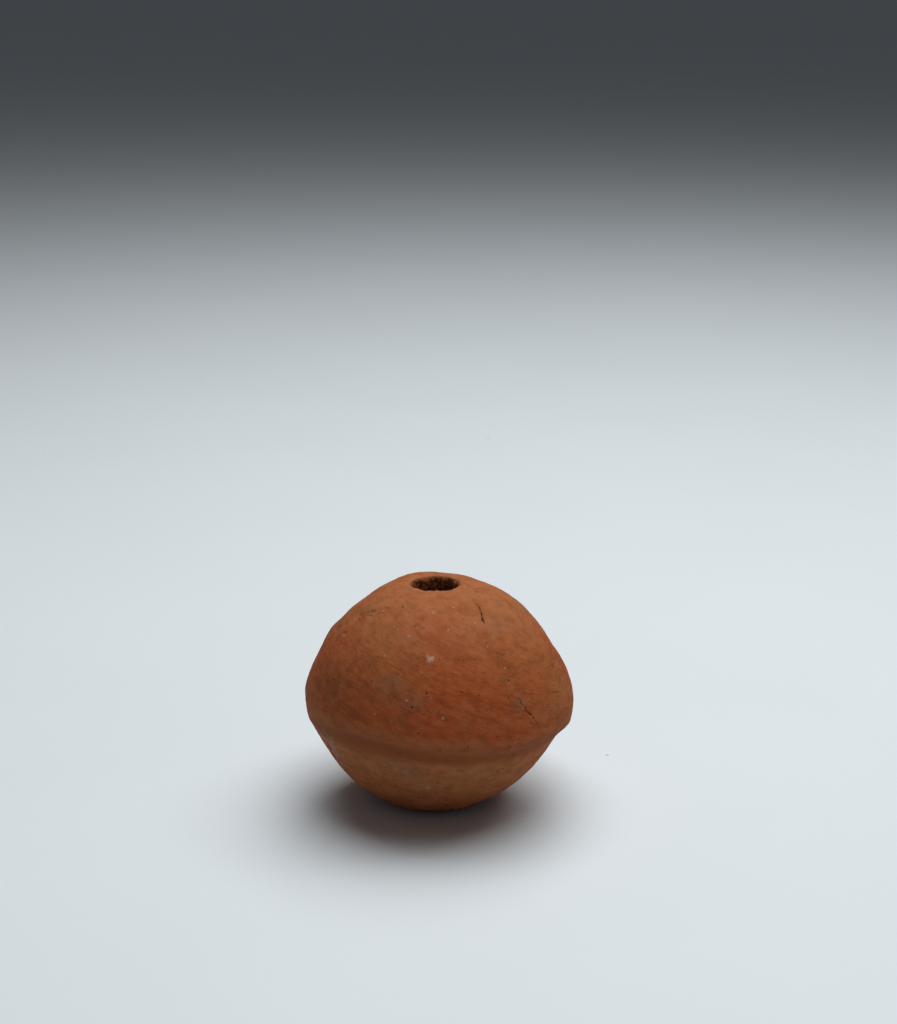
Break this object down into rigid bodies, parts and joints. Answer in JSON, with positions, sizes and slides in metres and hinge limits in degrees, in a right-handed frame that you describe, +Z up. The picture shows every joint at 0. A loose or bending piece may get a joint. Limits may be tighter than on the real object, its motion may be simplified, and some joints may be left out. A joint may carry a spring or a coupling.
{
  "type": "spindle whorl",
  "caption": "Rounded biconical spindle whorl of fired clay: a small flywheel with a wandering keel round its girth and a straight hole through its middle for a wooden spindle.",
  "frame": {"origin": "middle of the underside, at the height of the flat foot ring round the hole", "axes": "+Z up along the spindle hole, +X to the right and +Y away when the weathered face is seen from the front"},
  "size_m": [0.0397, 0.0396, 0.0341],
  "materials": {
    "fired_clay": "matt, smoothed by hand, worn and pitted"
  },
  "bodies": {
    "root": {"whorl": "fired_clay"}
  },
  "joints": []
}
